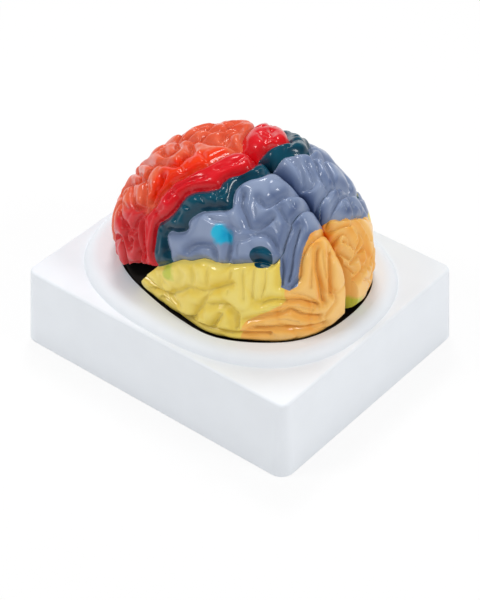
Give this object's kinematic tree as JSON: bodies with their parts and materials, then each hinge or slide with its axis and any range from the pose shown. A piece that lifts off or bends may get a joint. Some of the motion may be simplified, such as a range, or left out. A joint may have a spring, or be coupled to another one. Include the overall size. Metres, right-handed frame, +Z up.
{
  "type": "anatomical brain model",
  "caption": "Life-size folded human brain in coloured lobes that comes apart, lying in the oval cradle of a white box base.",
  "frame": {"origin": "middle of the base's underside", "axes": "+X to the brain's right, +Y to its front, +Z up"},
  "size_m": [0.1764, 0.2104, 0.1509],
  "materials": {
    "white_base": "satin white moulded plastic",
    "upper_lobes": "glossy, painted in fields of coral, orange, red, teal and blue-grey",
    "lower_lobes": "glossy, painted in fields of yellow and amber",
    "underside_pieces": "glossy",
    "dowel_plastic": "plain"
  },
  "bodies": {
    "root": {"base": "white_base", "dowels": "dowel_plastic", "left_frontal_parietal_lobes": "upper_lobes", "left_temporal_occipital_lobes": "lower_lobes", "left_cerebellum": "underside_pieces", "left_brain_stem": "underside_pieces", "right_frontal_parietal_lobes": "upper_lobes", "right_temporal_occipital_lobes": "lower_lobes", "right_cerebellum": "underside_pieces", "right_brain_stem": "underside_pieces"}
  },
  "joints": []
}
